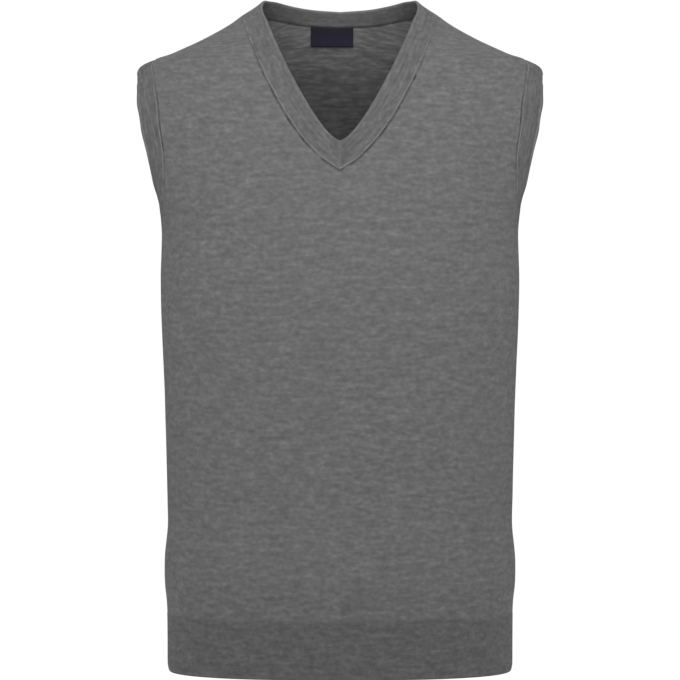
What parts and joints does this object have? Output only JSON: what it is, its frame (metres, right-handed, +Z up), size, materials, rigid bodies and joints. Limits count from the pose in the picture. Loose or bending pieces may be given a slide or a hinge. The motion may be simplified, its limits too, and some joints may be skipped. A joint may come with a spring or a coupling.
{
  "type": "sweater vest",
  "caption": "Sleeveless V-neck sweater vest in fine heather-grey knit, hollow and rounded as when worn, with mitred neckband, armbands and a deep ribbed hem.",
  "frame": {"origin": "middle of the neck base, level with the points where the neckband seam crosses the tops of the shoulders", "axes": "+Z up along the body, -Y out of the front, +X to the wearer's left"},
  "size_m": [0.3982, 0.2402, 0.6515],
  "materials": {
    "body_knit": "matt heather-grey jersey knit",
    "hem_rib": "matt heather-grey rib knit",
    "band_knit": "matt heather-grey double band",
    "woven_label": "dark navy woven label, left bare"
  },
  "bodies": {
    "root": {"front_panel": "body_knit", "back_panel": "body_knit", "hem_rib_front": "hem_rib", "hem_rib_back": "hem_rib", "neckband": "band_knit", "armband_left": "band_knit", "armband_right": "band_knit", "neck_label": "woven_label"}
  },
  "joints": []
}
